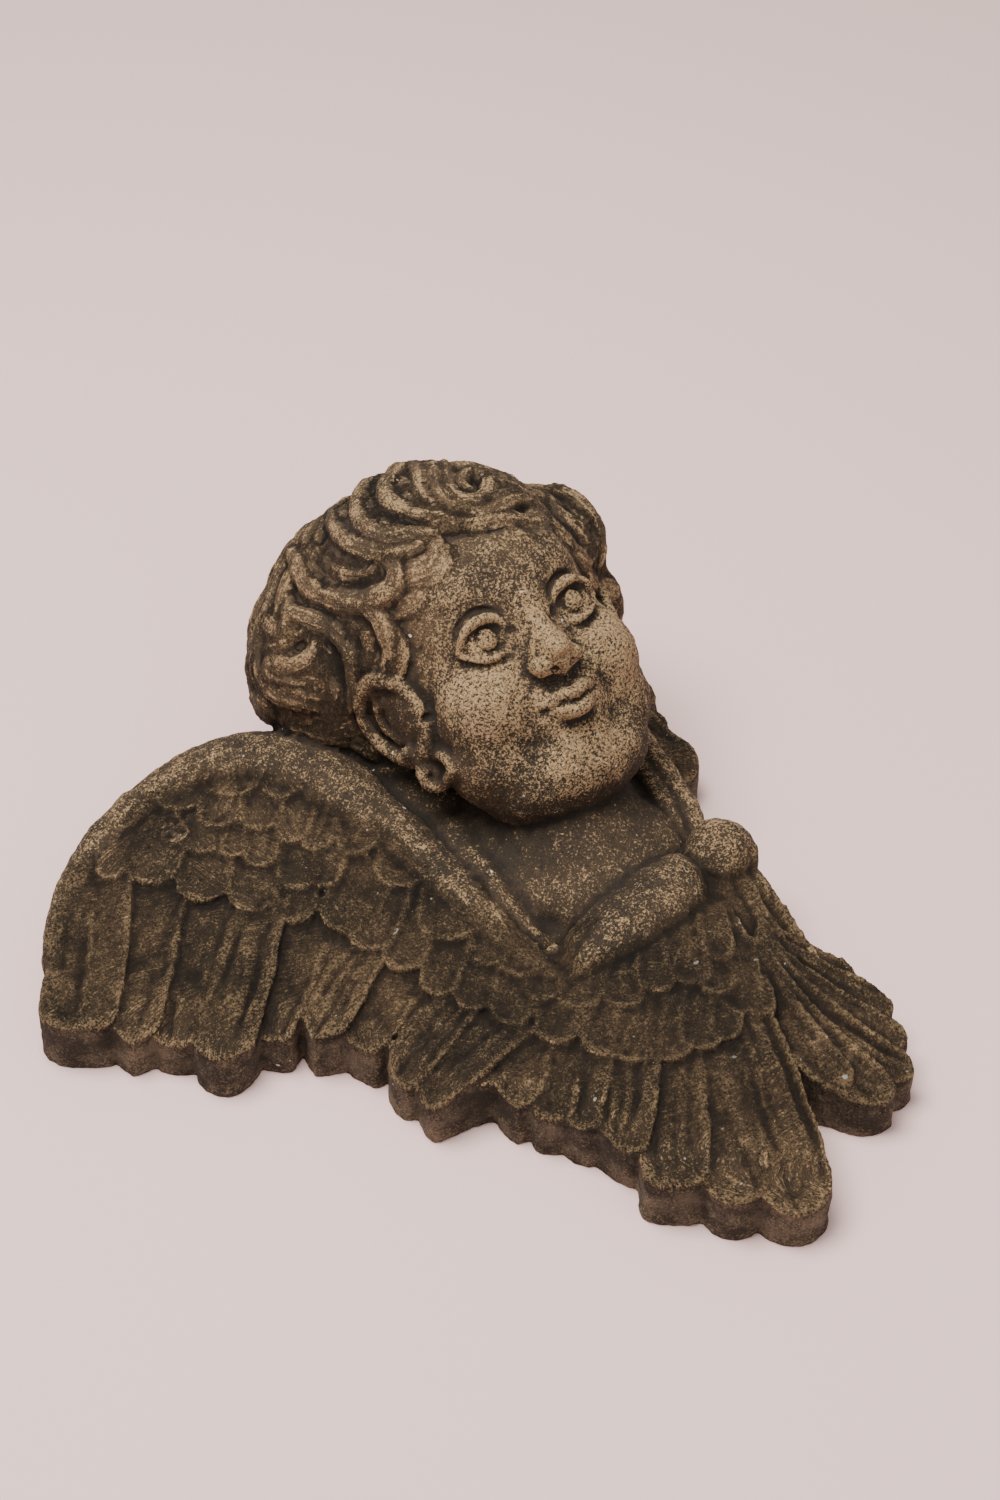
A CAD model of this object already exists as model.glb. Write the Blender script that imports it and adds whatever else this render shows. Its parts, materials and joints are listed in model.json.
import json
import math
import random

import bpy
import numpy as np
from mathutils import Matrix, Vector
from mathutils.bvhtree import BVHTree
from mathutils.kdtree import KDTree

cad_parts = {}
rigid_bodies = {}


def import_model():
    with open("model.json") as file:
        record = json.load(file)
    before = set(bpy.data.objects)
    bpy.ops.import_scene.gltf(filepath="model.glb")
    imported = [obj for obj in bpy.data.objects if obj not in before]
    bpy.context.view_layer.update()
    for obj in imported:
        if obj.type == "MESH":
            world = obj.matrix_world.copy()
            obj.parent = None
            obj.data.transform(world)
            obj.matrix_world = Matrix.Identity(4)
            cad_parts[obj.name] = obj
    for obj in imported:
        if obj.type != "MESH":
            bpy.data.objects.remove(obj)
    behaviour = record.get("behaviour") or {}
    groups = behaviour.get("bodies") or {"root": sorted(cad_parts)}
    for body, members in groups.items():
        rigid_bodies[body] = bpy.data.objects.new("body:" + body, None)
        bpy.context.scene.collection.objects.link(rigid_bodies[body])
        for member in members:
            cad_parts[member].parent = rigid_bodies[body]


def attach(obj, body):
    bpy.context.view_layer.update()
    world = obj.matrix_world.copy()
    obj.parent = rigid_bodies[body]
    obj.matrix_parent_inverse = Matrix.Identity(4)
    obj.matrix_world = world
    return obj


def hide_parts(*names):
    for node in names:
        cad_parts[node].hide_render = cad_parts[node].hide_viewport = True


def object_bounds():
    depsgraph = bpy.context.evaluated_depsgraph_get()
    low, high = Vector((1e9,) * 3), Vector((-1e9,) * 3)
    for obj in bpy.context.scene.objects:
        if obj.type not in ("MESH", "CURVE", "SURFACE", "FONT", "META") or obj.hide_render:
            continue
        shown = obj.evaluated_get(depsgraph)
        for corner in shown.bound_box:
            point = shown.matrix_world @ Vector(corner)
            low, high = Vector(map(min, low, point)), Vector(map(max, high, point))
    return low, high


# Carving space: x to the viewer's right, y up the plaque, z out of the wall, in millimetres.
# World space: metres, +Z up, the back on the plane Y = 0 and the carving towards -Y.
MM = 0.001
TO_WORLD = Matrix.Rotation(math.radians(90), 4, "X") @ Matrix.Scale(MM, 4)

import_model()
cad_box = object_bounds()

# Camera: above the back plane, turned in it, as far off as its picture shows
CAMERA_RISE = math.radians(42.0)
CAMERA_TURN = math.radians(26.0)
PICTURE = (1000.0, 1500.0)
FOCAL_PIXELS = 2900.0
PIXELS_PER_MM = 2.05
CAMERA_REACH = FOCAL_PIXELS / PIXELS_PER_MM
SENSOR = 36.0

CAMERA_AWAY = Vector((-math.cos(CAMERA_RISE) * math.sin(CAMERA_TURN),
                      -math.cos(CAMERA_RISE) * math.cos(CAMERA_TURN),
                      math.sin(CAMERA_RISE)))
CAMERA_RIGHT = Vector((math.cos(CAMERA_TURN), -math.sin(CAMERA_TURN), 0.0))
CAMERA_UP = CAMERA_AWAY.cross(CAMERA_RIGHT)

# Wings; every feather reaches behind the back, where it is cut off flat
BEHIND_BACK = 5.0
PRIMARY_ROOT_HEIGHT = 33.0
GROUND_REACH = 0.66
GROUND_SPREAD = 6.0
GROUND_SINK = (-0.3, -1.8)
LOWER_GROUND_SINK = (-0.4, -0.9)
ROOT_UNDER_COVERTS = 14.0
HEIGHT_SOFTENING = 130.0
USUAL_HEIGHT = 38.0
VANE_CUT_SPACING = 3.0
VANE_CUT_WIDTH = 1.25
VANE_CUT_DEPTH = (0.9, 1.8)
FAN_CUT_SPACING = 3.4
FAN_CUT_DEPTH = 0.8
RIM_WIDTH = 1.5

# A feather's end: how long its rounding is, how square it is, and how far one corner leads the other
ROUND = (0.9, 2.0, 0.0)
POINT = (0.85, 1.3, 0.0)
SQUARE = (0.45, 2.6, 0.0)
SLANT = (0.5, 1.8, 0.35)
WRIST_END = (0.35, 2.4, 0.1)

# Head
SKULL = ((0, 2, -18), (61, 72, 80))
HEAD_CENTRE = (-22.0, -26.0, 95.0)
HEAD_NOD = 43.0
HEAD_TURN = 6.0
HEAD_LEAN = 7.0
EYE_SPACING = 47.0
EYE_HEIGHT = -4.0
EYE_RADIUS = 13.0
EYE = (EYE_SPACING / 2, EYE_HEIGHT)
MOUTH_HEIGHT = -43.0
MOUTH_HALF_WIDTH = 13.0
MOUTH = (0.0, MOUTH_HEIGHT)
MOUTH_CORNER = (MOUTH_HALF_WIDTH, MOUTH_HEIGHT)
MIDDLE = (0.0, 0.0)

HAIR_MASS = [
    ((0, 8, -22), (65, 77, 80)),
    ((-38, 17, -50), (50, 50, 50)),
    ((-22, 30, -44), (52, 50, 50)),
    ((26, 13, -52), (42, 45, 45)),
    ((50, 24, 4), (24, 26, 24)),
    ((52, -4, -4), (20, 24, 22)),
]
HAIR_CORE = (0, 4, -14)
LOCK_RADIUS = 8.0
LOCK_REACH = 0.62
STRAND = 3.0
STRAND_DEPTH = 1.7
HAIR_CREVICE = -1.9
HAIR_VOXEL = 1.15
HAIR_SEED = 11
CROWN_RISE = math.radians(62)
LOCK_CURL = (1.6, 3.6)
LOCK_LIFT = (3.0, 5.5)
SEEN_SIDE_SINK = 2.4
LOCK_RINGS = (10, 25, 40, 55, 70, 85, 100, 115, 130)
LOCK_SPACING = 13.0
BACK_OF_HEAD = 0.5

# Skins; waves of the weathered stone are given by their length and strength
SOFT_VOXEL = 2.4
FEATURE_VOXEL = 1.4
FINE_VOXEL = 1.05
MOST_TRIANGLES = 190000
BOX_GAP = 0.1
WAVES = ((16.0, 0.132), (9.0, 0.084), (5.0, 0.06), (3.2, 0.042))
RIDGE_SCALE = 0.35
RELIEF_SCALE = 1.6
RIDGE_ROUNDS = 6
RELIEF_ROUNDS = 70
FACE_OVAL = (58.0, 74.0)
FACE_OVAL_HEIGHT = -16.0
CARVED_REACH = (2.0, 4.2)


def rest():
    bpy.ops.object.select_all(action="DESELECT")


def only(obj):
    rest()
    obj.select_set(True)
    bpy.context.view_layer.objects.active = obj


def points_of(mesh):
    co = np.empty(len(mesh.vertices) * 3)
    mesh.vertices.foreach_get("co", co)
    return co.reshape(-1, 3)


def set_points(mesh, co):
    mesh.vertices.foreach_set("co", np.ascontiguousarray(co, dtype=np.float32).ravel())
    mesh.update()


def normals_of(mesh):
    normals = np.empty(len(mesh.vertices) * 3)
    mesh.vertices.foreach_get("normal", normals)
    return normals.reshape(-1, 3)


def tree_of(obj):
    """A shape, ready for finding where a line meets it."""
    bpy.context.view_layer.update()
    return BVHTree.FromObject(obj, bpy.context.evaluated_depsgraph_get())


def sorted_by_place(places):
    """Points, ready for finding those near a place."""
    kd = KDTree(len(places))
    for i, spot in enumerate(places):
        kd.insert(spot, i)
    kd.balance()
    return kd


def finish_with(obj, kind, **settings):
    """Gives the active object one modifier and applies it."""
    modifier = obj.modifiers.new(kind.lower(), kind)
    for key, value in settings.items():
        setattr(modifier, key, value)
    bpy.ops.object.modifier_apply(modifier=modifier.name)


def smooth_path(points, steps):
    """Points along a smooth curve through the given ones, each with as many values as they have."""
    pts = [np.array(p, dtype=float) for p in points]
    ends = [2 * pts[0] - pts[1]] + pts + [2 * pts[-1] - pts[-2]]
    path = []
    for a, b, c, d in zip(ends, ends[1:], ends[2:], ends[3:]):
        for i in range(steps):
            t = i / steps
            path.append(0.5 * (2 * b + (c - a) * t + (2 * a - 5 * b + 4 * c - d) * t * t
                               + (3 * b - a - 3 * c + d) * t ** 3))
    path.append(pts[-1])
    return path


def head_frame():
    """From head millimetres to carving millimetres."""
    nod = Matrix.Rotation(math.radians(HEAD_NOD), 4, "X")
    turn = Matrix.Rotation(math.radians(HEAD_TURN), 4, "Y")
    lean = Matrix.Rotation(math.radians(HEAD_LEAN), 4, "Z")
    return Matrix.Translation(HEAD_CENTRE) @ nod @ turn @ lean


HEAD = head_frame()


# Rough shapes

def ball(centre, half, turn=None, space=None):
    """A round mass with the given half sizes."""
    rest()
    bpy.ops.mesh.primitive_uv_sphere_add(segments=48, ring_count=24, radius=1.0)
    obj = bpy.context.object
    place = Matrix.Translation(centre)
    if turn is not None:
        place = place @ turn
    place = place @ Matrix.Diagonal((*half, 1.0))
    if space is not None:
        place = space @ place
    obj.data.transform(place)
    return obj


def feather_blank(along, across):
    """A flat tongue, 2 by 2, extruded down by 1, that every feather is shaped from."""
    rest()
    bpy.ops.mesh.primitive_grid_add(x_subdivisions=along, y_subdivisions=across, size=2.0)
    obj = bpy.context.object
    bpy.ops.object.mode_set(mode="EDIT")
    bpy.ops.mesh.select_all(action="SELECT")
    bpy.ops.mesh.extrude_region_move(TRANSFORM_OT_translate={"value": (0, 0, -1)})
    bpy.ops.mesh.select_all(action="SELECT")
    bpy.ops.mesh.normals_make_consistent(inside=False)
    bpy.ops.object.mode_set(mode="OBJECT")
    return obj


def vane(share, t, half_width, length, phase):
    """A flight feather: its right edge stands up, its left one dips, and a few long cuts run down it."""
    right = np.exp(-((1 - t) * half_width / 1.7) ** 2)
    left = np.exp(-((1 + t) * half_width / 1.5) ** 2)
    surface = 0.9 * t + 0.5 * right - 0.4 * left - 0.35 * (1 - t * t)
    dice = random.Random(round(phase * 100))
    for k in range(max(2, round(half_width / VANE_CUT_SPACING))):
        place = dice.uniform(-0.75, 0.8)
        sway = dice.uniform(-0.12, 0.12)
        start = dice.uniform(0.0, 0.35)
        stop = dice.uniform(0.7, 1.1)
        line = place + sway * (share - 0.5) + 0.05 * np.sin(share * 7 + phase + k)
        shown = np.clip((share - start) * 8, 0, 1) * np.clip((stop - share) * 8, 0, 1)
        surface -= (dice.uniform(*VANE_CUT_DEPTH) * shown
                    * np.exp(-((t - line) * half_width / VANE_CUT_WIDTH) ** 2))
    return surface


def fan(share, t, half_width, length, phase):
    """A covert: fine cuts spread from its root inside a raised round rim."""
    spread = t / (0.4 + 0.6 * share)
    lines = 2 * max(1, round(half_width / FAN_CUT_SPACING)) + 1
    cuts = 1 - np.abs(np.cos(math.pi * lines * (spread + 0.06 * np.sin(share * 6 + phase)) / 2))
    edge = np.minimum((1 - np.abs(t)) * half_width, (1 - share) * length)
    rim = np.exp(-(np.maximum(edge - 0.6, 0.0) / RIM_WIDTH) ** 2)
    dish = np.exp(-((edge - 4.2) / 2.6) ** 2)
    return (rim - dish) * 0.3 - FAN_CUT_DEPTH * cuts * (1 - rim) * np.clip(1.5 - share, 0, 1)


def bone(share, t, half_width, length, phase):
    """The wrist of a wing: domed, falling off at its far end."""
    return -7.5 * np.abs(t) ** 2.2 - 1.5 * np.clip((share - 0.88) * 8, 0, 1)


def plain(share, t, half_width, length, phase):
    return 0.0 * share


GRAIN = []


def keep_grain(places, across, along):
    """Notes at points of the stone how far they lie across and along their feather or lock."""
    number = len(GRAIN) * 7.31
    GRAIN.append(np.column_stack([places, across, along, np.full(len(places), number)]))


def feather(blank, root, tip, half_width, end=ROUND, bend=0.0, root_width=0.75, barbs=plain, phase=0.0,
            ground=None, lift=(0.0, 0.0)):
    """A copy of the blank laid from root to tip, standing on the back of the plaque."""
    mesh = blank.data.copy()
    obj = bpy.data.objects.new("feather", mesh)
    bpy.context.collection.objects.link(obj)
    co = points_of(mesh)
    s = (co[:, 0] + 1) / 2
    t = co[:, 1]
    top = co[:, 2] > -0.5
    root = np.array(root, dtype=float)
    tip = np.array(tip, dtype=float)
    run = tip[:2] - root[:2]
    length = float(np.hypot(*run))
    along = run / length
    across = np.array((-along[1], along[0]))
    blunt, power, slant = end
    rounding = 1 - np.maximum(0.0, 1 - np.abs(t) ** power) ** (1 / power)
    reach = s * (length - half_width * (blunt * rounding - slant * t))
    share = reach / length
    width = half_width * (root_width + (1 - root_width) * np.sin(np.pi * np.minimum(1.0, share * 0.8)))
    sway = bend * length * 4 * share * (1 - share)
    flat = root[:2] + along * reach[:, None] + across * (t * width + sway)[:, None]
    height = root[2] + (tip[2] - root[2]) * share if ground is None else ground(flat[:, 0], flat[:, 1])
    height = height + lift[0] + (lift[1] - lift[0]) * share + barbs(s, t, half_width, length, phase)
    co[:, :2] = flat
    co[:, 2] = np.where(top, height, -BEHIND_BACK)
    set_points(mesh, co)
    if barbs not in (plain, bone):
        spread = t * half_width / (0.45 + 0.55 * share) if barbs is fan else t * width
        keep_grain(co[top], spread[top], reach[top])
    return obj


def roll(points, space=None, steps=6):
    """A smooth round roll through points of x, y, z and radius, closed at both ends."""
    curve = bpy.data.curves.new("roll", "CURVE")
    curve.dimensions = "3D"
    curve.bevel_depth = 1.0
    curve.bevel_resolution = 6
    curve.use_fill_caps = True
    path = smooth_path(points, steps)
    spline = curve.splines.new("POLY")
    spline.points.add(len(path) - 1)
    for point, spot in zip(spline.points, path):
        place = Vector(spot[:3])
        if space is not None:
            place = space @ place
        point.co = (*place, 1.0)
        point.radius = spot[3]
    obj = bpy.data.objects.new("roll", curve)
    bpy.context.collection.objects.link(obj)
    only(obj)
    bpy.ops.object.convert(target="MESH")
    return bpy.context.object


def fuse(pieces, voxel, soften):
    """Joins overlapping closed shapes in one skin and softens it."""
    rest()
    for piece in pieces:
        piece.select_set(True)
    bpy.context.view_layer.objects.active = pieces[0]
    bpy.ops.object.join()
    skin = bpy.context.object
    finish_with(skin, "REMESH", mode="VOXEL", voxel_size=voxel)
    finish_with(skin, "SMOOTH", factor=0.5, iterations=soften)
    return skin


# Wings: what they are laid out by

# Primary feathers: root x, y; tip x, y, height; half width; how far they lie over their neighbours
LEFT_PRIMARIES = [
    (-232, -49, -261, -103, 24, 9.5, 0.0),
    (-218, -42, -254, -109, 26, 15.0, 1.5),
    (-196, -62, -236, -123, 21, 10.5, 0.5),
    (-184, -76, -219, -130, 19, 8.5, -1.5),
    (-164, -95, -207, -149, 23, 12.5, 2.5),
    (-148, -112, -181, -146, 19, 9.0, -1.5),
    (-132, -134, -165, -157, 24, 10.0, 1.5),
    (-122, -154, -149, -168, 20, 9.0, -1.0),
    (-108, -176, -142, -189, 18, 10.5, 1.5),
    (-97, -196, -136, -203, 16, 11.5, 2.0),
    (-88, -208, -103, -229, 21, 9.5, -1.5),
    (-78, -218, -92, -241, 21, 8.5, -1.0),
    (-68, -228, -86, -248, 19, 9.0, 1.0),
    (-54, -240, -74, -267, 19, 11.0, 2.0),
    (-37, -243, -64, -296, 25, 13.0, 0.5),
    (-20, -245, -44, -314, 24, 12.5, -0.5),
    (0, -230, -22, -328, 19, 15.0, 1.5),
]

# Lines along the coverts and how high the wing stands there
WING_CONTOURS = [
    [(-213, -39, 34), (-178, -77, 36), (-150, -104, 37), (-129, -136, 36), (-107, -172, 34),
     (-87, -202, 33), (-72, -219, 32)],
    [(-196, -28, 38), (-167, -48, 41), (-136, -87, 41), (-106, -136, 40), (-80, -180, 38), (-60, -200, 37)],
    [(-176, -14, 42), (-150, -34, 45), (-120, -68, 46), (-97, -116, 45), (-80, -152, 42), (-62, -184, 40)],
    [(-160, -6, 46), (-132, -18, 49), (-110, -52, 50), (-96, -88, 49)],
    [(-62, -234, 32), (-46, -244, 34), (-26, -248, 35), (-6, -246, 36), (8, -238, 37)],
    [(-58, -208, 38), (-34, -218, 39), (-8, -222, 40), (10, -214, 41)],
    [(-54, -186, 42), (-32, -194, 44), (-10, -196, 46), (8, -190, 46)],
]

# Coverts as the camera sees them on enlargements of the wings: root, tip and half width
FAR_WING_SCALE = 3.136
FAR_WING_CORNER = (20.0, 700.0)
FAR_COVERTS = [
    ((410, 400), (262, 585), 46), ((430, 390), (425, 602), 88), ((590, 510), (578, 657), 84),
    ((742, 540), (738, 688), 74), ((872, 600), (868, 720), 66), ((1100, 555), (1000, 748), 88),
    ((1165, 600), (1085, 806), 78), ((1255, 690), (1192, 868), 66), ((1350, 800), (1302, 946), 58),
    ((1450, 855), (1418, 992), 60), ((1580, 890), (1532, 1040), 60),
    ((590, 400), (580, 506), 68), ((682, 420), (668, 520), 42), ((768, 430), (757, 550), 54),
    ((884, 470), (874, 620), 62), ((1000, 450), (950, 612), 50), ((470, 400), (512, 470), 40),
    ((520, 280), (474, 370), 84), ((640, 310), (626, 427), 70), ((770, 320), (760, 435), 66),
    ((890, 340), (852, 474), 54), ((960, 380), (930, 500), 48),
    ((680, 240), (676, 330), 96), ((835, 260), (822, 336), 58), ((1064, 400), (1064, 510), 58),
    ((1205, 480), (1192, 612), 72), ((1365, 590), (1348, 778), 92), ((1490, 740), (1465, 855), 60),
]
NEAR_WING_SCALE = 2.904
NEAR_WING_CORNER = (420.0, 780.0)
NEAR_COVERTS = [
    ((585, 640), (522, 816), 62), ((655, 640), (620, 838), 64), ((745, 640), (720, 832), 64),
    ((835, 630), (815, 800), 60), ((900, 610), (890, 772), 44),
    ((422, 650), (396, 782), 62), ((476, 560), (460, 684), 58), ((380, 560), (352, 658), 48),
    ((606, 560), (592, 680), 56), ((692, 490), (690, 634), 54), ((770, 450), (790, 612), 62),
    ((930, 540), (940, 694), 60), ((985, 600), (1000, 700), 40), ((860, 520), (870, 640), 50),
    ((520, 460), (500, 560), 84), ((300, 500), (290, 590), 50), ((850, 400), (880, 540), 44),
]
COVERT_STEP = 2.3
COVERT_UNDER = 0.25

# The one chip, as the camera sees it on the enlargement of the near wing
CHIP = (1235, 862)

# Leading edges and wrist: x, y, height and radius
LEFT_BAND = [(-254, -86, 19, 5), (-245, -60, 22, 8), (-227, -33, 25, 10), (-203, -13, 29, 12),
             (-176, -4, 33, 15), (-147, -1, 36, 18), (-121, -12, 39, 20), (-103, -37, 39, 20),
             (-92, -70, 37, 18), (-82, -106, 35, 16), (-76, -134, 32, 15), (-71, -158, 28, 14),
             (-62, -178, 27, 12), (-48, -184, 30, 11)]
RIGHT_BAND = [(30, -150, 26, 9), (38, -112, 33, 9), (40, -70, 35, 9), (43, -32, 34, 9),
              (47, -4, 31, 9), (53, 12, 27, 9), (62, 18, 22, 9)]
WRIST = [(-64, -184, 26, 9), (-50, -180, 31, 14), (-30, -171, 35, 17), (-6, -162, 37, 18), (14, -157, 37, 17),
         (24, -158, 34, 13)]

# The right leading edge is three rolls along its band: aside, up and share of its radius
RIGHT_RIDGES = ((-5.0, 2.5, 0.62), (4.0, 2.5, 0.66), (0.0, -5.0, 0.9))

# The smooth cover over the wrist's roll
WRIST_ROOT = (-66, -190, 0)
WRIST_TIP = (32, -153, 0)
WRIST_HALF_WIDTH = 16.5
WRIST_SINK = 3.5

# The stone under the lower coverts: where each tongue of it lies and how far down it reaches
LOWER_GROUND = [(-66, -230), (-52, -236), (-38, -250), (-24, -256), (-10, -252), (4, -240), (13, -225)]

PRIMARY_ENDS = (ROUND, SQUARE, POINT, SQUARE, ROUND, SQUARE, POINT, SQUARE, SLANT, SLANT, POINT, SQUARE,
                SLANT, SLANT, SQUARE, ROUND, ROUND)
PRIMARY_OVERLAP = 1.12

# Lower right wing: flutes from root to tip with half width, then the knob that they leave and its scallops
RIGHT_LOWER_FLUTES = [
    (26, -150, 49, 21, -226, 30, 7.0),
    (33, -150, 51, 33, -234, 30, 7.0),
    (40, -154, 47, 46, -226, 28, 6.5),
]
KNOB = [((36, -153, 42), (17, 17, 18)), ((43, -172, 28), (8, 16, 18))]
KNOB_SCALLOPS = [(38, -150, 49, -163, 40, 5.5), (38, -160, 51, -175, 37, 6.0), (37, -170, 50, -188, 34, 6.0)]

RIGHT_PRIMARIES = [
    (48, -24, 62, -81, 18, 12.5, 2.0),
    (48, -14, 66, -50, 20, 8.0, 0.0),
    (50, -2, 71, -30, 22, 8.0, 1.5),
    (52, 6, 74, -11, 23, 8.0, 0.0),
    (54, 12, 76, 6, 22, 8.0, 1.5),
]

# These flare out of the flutes: root x, y; tip x, y, height; half width; how far they bend
FLARE_ROOT_HEIGHT = 42
RIGHT_LOWER_PRIMARIES = [
    (30, -196, 64, -229, 22, 9.5, 0.10),
    (29, -198, 69, -249, 21, 10.5, 0.11),
    (27, -200, 65, -267, 20, 10.5, 0.12),
    (25, -202, 58, -282, 18, 11.5, 0.12),
    (22, -204, 42, -291, 20, 11.5, 0.10),
    (19, -200, 27, -280, 25, 9.0, 0.06),
]


def off_line(spot, root, tip):
    """How far a spot lies from the line through a feather's root and tip."""
    run = Vector((tip[0] - root[0], tip[1] - root[1])).normalized()
    return abs(run.x * (spot[1] - root[1]) - run.y * (spot[0] - root[0]))


def height_spots():
    """Known heights of the wings' surface: along the contours, the flight feathers and the bands."""
    spots = []
    for line in WING_CONTOURS:
        spots += [tuple(spot[:3]) for spot in smooth_path(line, 3)]
    for x0, y0, x1, y1, height, half_width, over in LEFT_PRIMARIES + RIGHT_PRIMARIES:
        for share in (0.0, 0.5, 1.0):
            spots.append((x0 + (x1 - x0) * share, y0 + (y1 - y0) * share,
                          PRIMARY_ROOT_HEIGHT + (height - PRIMARY_ROOT_HEIGHT) * share))
    for band in (LEFT_BAND[3:], RIGHT_BAND, WRIST):
        spots += [(x, y, z + 0.6 * radius) for x, y, z, radius in band]
    return np.array(spots, dtype=float)


SPOTS = height_spots()


def wing_height(x, y):
    """How high the wings' surface stands over the back, between the known heights."""
    gap = (np.asarray(x)[:, None] - SPOTS[:, 0]) ** 2 + (np.asarray(y)[:, None] - SPOTS[:, 1]) ** 2
    weight = 1 / (gap + HEIGHT_SOFTENING) ** 2
    return (weight * SPOTS[:, 2]).sum(1) / weight.sum(1)


def camera_ray(px, py, corner, scale):
    """The camera's place and the way it looks through a spot of an enlargement, in carving space."""
    x = corner[0] + px / scale - PICTURE[0] / 2
    y = PICTURE[1] / 2 - corner[1] - py / scale
    way = -CAMERA_AWAY + CAMERA_RIGHT * (x / FOCAL_PIXELS) + CAMERA_UP * (y / FOCAL_PIXELS)
    return CAMERA_AWAY * CAMERA_REACH, way


def on_wing(px, py, corner, scale):
    """Where that line of sight meets the wings' surface."""
    eye, way = camera_ray(px, py, corner, scale)
    height = USUAL_HEIGHT
    for _ in range(6):
        spot = eye + way * ((height - eye.z) / way.z)
        height = float(wing_height([spot.x], [spot.y])[0])
    return (spot.x, spot.y, height)


def wing_ground(blank, primaries, band):
    """The stone under the feathers, from the leading edge out to most of each feather's length."""
    pieces = []
    crest = smooth_path(band, 6)
    for i, (x0, y0, x1, y1, height, half_width, over) in enumerate(primaries):
        spread = GROUND_SPREAD if i > 1 else -1.0
        start = min(crest, key=lambda spot: off_line(spot, (x0, y0), (x1, y1)))
        tip = (x0 + (x1 - x0) * GROUND_REACH, y0 + (y1 - y0) * GROUND_REACH)
        pieces.append(feather(blank, (start[0], start[1], 0), (*tip, 0), half_width + spread,
                              root_width=1.2 if i > 1 else 0.8, ground=wing_height, lift=GROUND_SINK))
    return pieces


def coverts(blank, feathers, corner, scale):
    pieces = []
    for i, (root, tip, half_width) in enumerate(feathers):
        root = (root[0] - COVERT_UNDER * (tip[0] - root[0]), root[1] - COVERT_UNDER * (tip[1] - root[1]))
        pieces.append(feather(blank, on_wing(*root, corner, scale), on_wing(*tip, corner, scale),
                              half_width / scale / PIXELS_PER_MM, root_width=0.8, barbs=fan, phase=i * 1.7,
                              ground=wing_height, lift=(0.2, COVERT_STEP)))
    return pieces


def carve_wings(long_blank, short_blank, ground_blank):
    pieces = wing_ground(ground_blank, LEFT_PRIMARIES, LEFT_BAND)
    pieces += wing_ground(ground_blank, RIGHT_PRIMARIES, RIGHT_BAND)
    for i, (x0, y0, x1, y1, height, half_width, over) in enumerate(LEFT_PRIMARIES + RIGHT_PRIMARIES):
        end = PRIMARY_ENDS[i] if i < len(PRIMARY_ENDS) else ROUND
        hidden = ROOT_UNDER_COVERTS / math.hypot(x1 - x0, y1 - y0) * (i > 0)
        root = (x0 - (x1 - x0) * hidden, y0 - (y1 - y0) * hidden, 0)
        pieces.append(feather(long_blank, root, (x1, y1, 0), half_width * PRIMARY_OVERLAP, end=end,
                              barbs=vane, phase=i * 2.1, ground=wing_height, lift=(over - 1.5, over / 2)))
    pieces += coverts(short_blank, FAR_COVERTS, FAR_WING_CORNER, FAR_WING_SCALE)
    pieces += coverts(short_blank, NEAR_COVERTS, NEAR_WING_CORNER, NEAR_WING_SCALE)
    pieces.append(roll(LEFT_BAND))
    for aside, up, share in RIGHT_RIDGES:
        pieces.append(roll([(x + aside, y, z + up, radius * share) for x, y, z, radius in RIGHT_BAND]))

    # Lower left wing: the wrist, and the stone under its coverts and long feathers
    pieces.append(roll([(x, y, z - WRIST_SINK, radius) for x, y, z, radius in WRIST]))
    xs, tops = zip(*[(x, z + radius) for x, y, z, radius in WRIST])
    pieces.append(feather(short_blank, WRIST_ROOT, WRIST_TIP, WRIST_HALF_WIDTH, end=WRIST_END,
                          root_width=0.15, barbs=bone, ground=lambda x, y: np.interp(x, xs, tops)))
    for x, reach in LOWER_GROUND:
        pieces.append(feather(ground_blank, (x, WRIST[0][1] + 14, 0), (x, reach, 0), 12.0, root_width=1.0,
                              ground=wing_height, lift=LOWER_GROUND_SINK))

    # Lower right wing: the round wrist, the fluted neck and the flared feathers
    for i, (x0, y0, x1, y1, height, half_width, bend) in enumerate(RIGHT_LOWER_PRIMARIES):
        pieces.append(feather(long_blank, (x0, y0, FLARE_ROOT_HEIGHT), (x1, y1, height),
                              half_width * PRIMARY_OVERLAP, bend=-bend, root_width=0.45, barbs=vane,
                              phase=40 + i * 1.9))
    for i, (x0, y0, z0, x1, y1, z1, half_width) in enumerate(RIGHT_LOWER_FLUTES):
        pieces.append(feather(long_blank, (x0, y0, z0), (x1, y1, z1), half_width, barbs=vane, phase=60 + i))
    pieces += [ball(centre, half) for centre, half in KNOB]
    for i, (x0, y0, x1, y1, height, half_width) in enumerate(KNOB_SCALLOPS):
        pieces.append(feather(short_blank, (x0, y0, height), (x1, y1, height - 4), half_width, barbs=fan,
                              phase=80 + i))
    return pieces


# Head: neck, breast and face

NECK = [(-12, -150, 0, 38), (-13, -128, 10, 42), (-15, -100, 22, 43), (-18, -66, 36, 38)]
NECK_GROOVE = [(150, 150), (215, 225), (285, 320), (345, 400), (395, 440)]
BODY_MASSES = [
    ((-12, -120, 22), (50, 48, 32)),
    ((-28, -30, 0), (66, 66, 46)),
    ((30, -90, 14), (24, 66, 24)),
    ((-60, -100, 20), (36, 66, 29)),
    ((-28, -164, -6), (62, 56, 34)),
    ((-86, -18, 0), (38, 34, 30)),
    ((-64, -52, 30), (30, 36, 25)),
    ((20, -188, -4), (24, 44, 24)),
]
FACE_MASSES = [
    ((0, 16, 22), (48, 38, 37)),
    ((0, -34, 20), (53, 40, 37)),
    ((0, -58, 38), (22, 17, 20)),
    ((0, -69, 24), (43, 23, 33)),
    ((0, -40, 46), (25, 18, 15)),
]
CHEEKS = [
    ((27, -30, 36), (25, 24, 22)),
    ((30, -50, 25), (24, 24, 24)),
]

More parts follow.
